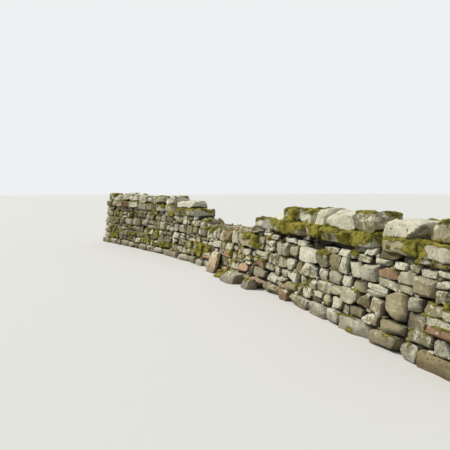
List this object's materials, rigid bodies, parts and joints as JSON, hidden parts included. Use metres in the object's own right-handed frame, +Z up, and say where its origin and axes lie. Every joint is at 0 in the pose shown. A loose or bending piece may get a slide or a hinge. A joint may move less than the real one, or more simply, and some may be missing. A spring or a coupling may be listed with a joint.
{
  "type": "dry stone wall",
  "caption": "Free-standing field wall of dry-laid rubble: two leaning faces with fill between, through stones, cover slabs and rounded coping, gently curved, with a fallen breach.",
  "frame": {"origin": "on the underside of the footing, on the centre line at mid length", "axes": "+X along the wall to the right as seen from the front, -Y out of the front, +Z up"},
  "size_m": [12.6397, 1.5798, 1.49],
  "materials": {
    "face_stone": "weathered, pale grey to buff, with lichen",
    "footing_stone": "rough and earth-stained",
    "hearting_stone": "small broken fill, dark with damp",
    "through_stone": "weathered, brown-grey",
    "cover_stone": "flat slabs under thick moss",
    "cope_stone": "bleached grey-white, mossy in places"
  },
  "bodies": {
    "root": {"footing_1": "footing_stone", "front_face_1": "face_stone", "back_face_1": "face_stone", "hearting_1": "hearting_stone", "through_stones_1": "through_stone", "cover_band_1": "cover_stone", "cope_stones_1": "cope_stone", "footing_2": "footing_stone", "front_face_2": "face_stone", "back_face_2": "face_stone", "hearting_2": "hearting_stone", "through_stones_2": "through_stone", "cover_band_2": "cover_stone", "cope_stones_2": "cope_stone", "footing_3": "footing_stone", "front_face_3": "face_stone", "back_face_3": "face_stone", "hearting_3": "hearting_stone", "through_stones_3": "through_stone", "cover_band_3": "cover_stone", "cope_stones_3": "cope_stone", "footing_4": "footing_stone", "front_face_4": "face_stone", "back_face_4": "face_stone", "hearting_4": "hearting_stone", "through_stones_4": "through_stone", "cover_band_4": "cover_stone", "footing_5": "footing_stone", "front_face_5": "face_stone", "back_face_5": "face_stone", "hearting_5": "hearting_stone", "through_stones_5": "through_stone", "cover_band_5": "cover_stone", "cope_stones_5": "cope_stone", "footing_6": "footing_stone", "front_face_6": "face_stone", "back_face_6": "face_stone", "hearting_6": "hearting_stone", "through_stones_6": "through_stone", "cover_band_6": "cover_stone", "cope_stones_6": "cope_stone", "wall_head_left": "face_stone", "wall_head_right": "face_stone", "fallen_stones": "face_stone"}
  },
  "joints": []
}
